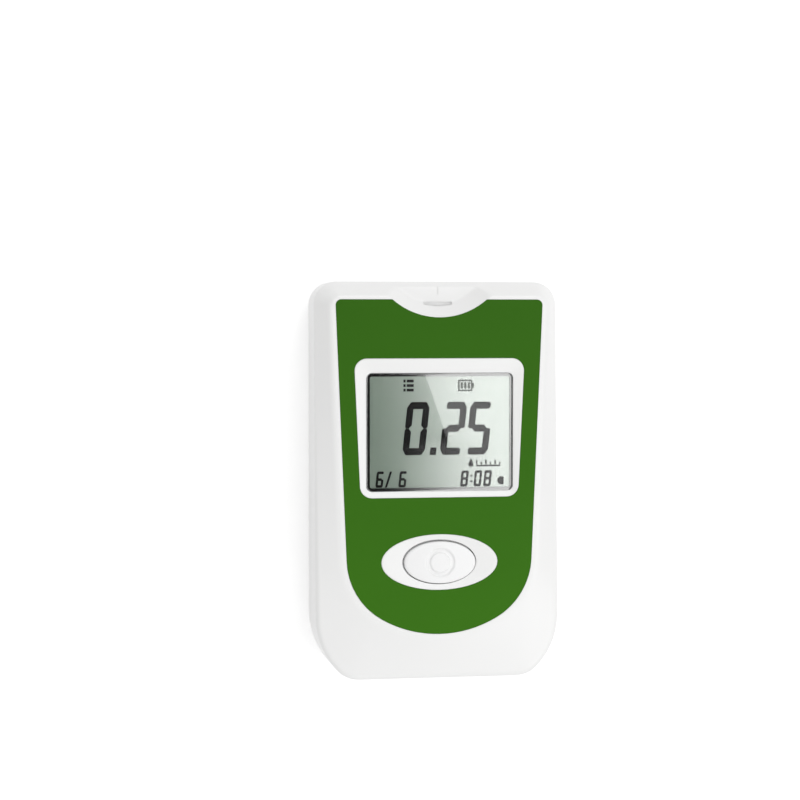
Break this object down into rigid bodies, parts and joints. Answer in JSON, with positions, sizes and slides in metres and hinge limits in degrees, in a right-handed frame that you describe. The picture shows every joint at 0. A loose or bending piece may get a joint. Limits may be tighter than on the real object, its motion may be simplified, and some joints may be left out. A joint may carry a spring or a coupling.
{
  "type": "uric acid meter",
  "caption": "Handheld home blood-strip meter with a green faced white casing, a grey display window, an oval button, a strip slot in a thumb scoop and a sliding battery door.",
  "frame": {"origin": "middle of the flat back, on the surface the meter lies on", "axes": "+Y towards the end with the strip slot, +Z out of the face, +X to the right seen from the front with the slot up"},
  "size_m": [0.056, 0.09, 0.0202],
  "materials": {
    "shell": "satin moulded white",
    "key": "satin moulded white",
    "film": "printed green film, fine matt",
    "lens": "clear polished plastic with a black printed border",
    "foam": "black foam",
    "display": "grey-green segment display",
    "holder": "moulded off-white",
    "elastomer": "pink striped elastomer",
    "board": "green solder mask",
    "chip": "black moulded",
    "ceramic": "ceramic",
    "tin": "tinned",
    "gold": "gold plated",
    "pin": "moulded red",
    "set_key": "moulded grey",
    "cell": "bare printed sleeve, no lettering",
    "screw": "zinc plated",
    "sticker": "bare paper sticker"
  },
  "bodies": {
    "housing": {"front_cover": "shell", "rear_cover": "shell", "face_film": "film", "window_lens": "lens", "window_seal": "foam", "lcd_cell": "display", "lcd_holder": "holder", "lcd_connectors": "elastomer", "circuit_board": "board", "processor": "chip", "board_parts": "ceramic", "crystal": "tin", "buzzer": "chip", "strip_connector": "holder", "strip_contacts": "gold", "main_switch": "chip", "set_switch": "chip", "battery_cell_1": "cell", "battery_cell_2": "cell", "battery_spring_1": "tin", "battery_spring_2": "tin", "battery_plus_contact": "tin", "battery_minus_contact": "tin", "battery_link_contact": "tin", "case_screws": "screw", "board_screws": "screw", "rear_label": "sticker"},
    "main_key": {"main_button": "key", "main_switch_plunger": "pin"},
    "set_key": {"set_button": "set_key", "set_switch_plunger": "pin"},
    "door": {"battery_door": "shell"}
  },
  "joints": [
    {"name": "main_button_press", "type": "slide", "parent": "housing", "child": "main_key", "axis": [0, 0, -1], "range_m": [0, 0.0004], "stiffness_N_per_m": 1500, "springref_m": -0.0005},
    {"name": "set_button_press", "type": "slide", "parent": "housing", "child": "set_key", "axis": [0, 0, 1], "range_m": [0, 0.0004], "stiffness_N_per_m": 1500, "springref_m": -0.0005},
    {"name": "battery_door_slide", "type": "slide", "parent": "housing", "child": "door", "axis": [0, -1, 0], "range_m": [0, 0.052]}
  ]
}
